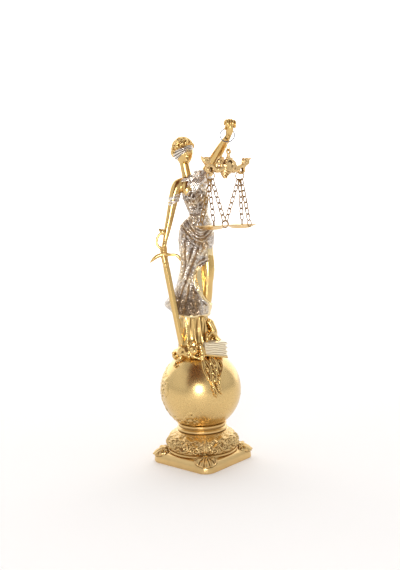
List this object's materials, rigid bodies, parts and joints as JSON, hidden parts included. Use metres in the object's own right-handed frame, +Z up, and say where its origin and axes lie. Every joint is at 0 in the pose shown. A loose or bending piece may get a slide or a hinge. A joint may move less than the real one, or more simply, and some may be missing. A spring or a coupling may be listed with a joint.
{
  "type": "lady justice statue",
  "caption": "Gold-coloured cast figurine of a blindfolded woman on a globe, with a lowered sword and a hanging pan scale in her raised hand, on a square plinth",
  "frame": {"origin": "middle of the plinth's underside", "axes": "+Z up; the plinth's sides lie along X and Y, its front at -Y; the woman's right is at -X and her chest is turned 22 degrees towards it"},
  "size_m": [0.076, 0.0927, 0.3178],
  "materials": {
    "gold_satin": "satin gold coat on cast resin",
    "gold_silver_gloss": "bright gold coat on cast resin, the gown in glittering silver with brown recesses",
    "gold_metal": "gold-plated metal",
    "steel_wire": "bright plain wire"
  },
  "bodies": {
    "root": {"plinth_base": "gold_satin", "globe": "gold_satin", "figure": "gold_silver_gloss", "wrist_ring": "steel_wire", "hanger_link": "gold_metal", "scale_beam": "gold_metal", "right_pan_ring": "gold_metal", "left_pan_ring": "gold_metal", "right_pan_chain_1": "gold_metal", "right_pan_chain_2": "gold_metal", "right_pan_chain_3": "gold_metal", "left_pan_chain_1": "gold_metal", "left_pan_chain_2": "gold_metal", "left_pan_chain_3": "gold_metal", "right_pan": "gold_metal", "left_pan": "gold_metal"}
  },
  "joints": []
}
